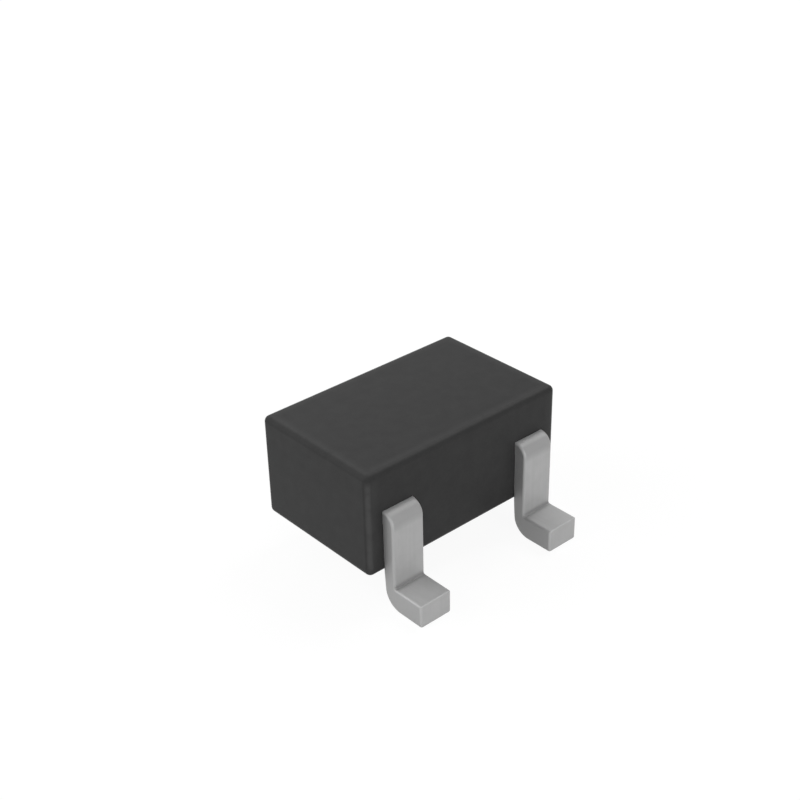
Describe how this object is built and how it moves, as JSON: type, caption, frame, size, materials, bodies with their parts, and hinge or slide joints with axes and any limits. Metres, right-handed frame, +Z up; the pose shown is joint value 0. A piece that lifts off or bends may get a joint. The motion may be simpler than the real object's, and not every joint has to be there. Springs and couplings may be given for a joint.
{
  "type": "surface-mount transistor",
  "caption": "Small black moulded transistor with a pair of gull-wing leads in front and a single one at the back, for soldering to a board.",
  "frame": {"origin": "on the seating plane that the feet stand on, under the middle of the body", "axes": "+Z up from the seating plane; +X along the body's long side; the base and emitter leads are on the -Y side, with the base at -X, and the collector lead is on the +Y side"},
  "size_m": [0.002, 0.002, 0.0012],
  "materials": {
    "mould_compound": "matte black epoxy with a fine mould grain",
    "tinned_lead": "matte tin over copper alloy",
    "die_attach": "cured silver-filled paste",
    "silicon": "polished silicon",
    "bond_wire": "bright gold"
  },
  "bodies": {
    "root": {"body": "mould_compound", "base_lead": "tinned_lead", "emitter_lead": "tinned_lead", "collector_lead": "tinned_lead", "die_attach": "die_attach", "silicon_die": "silicon", "base_wire": "bond_wire", "emitter_wire": "bond_wire"}
  },
  "joints": []
}
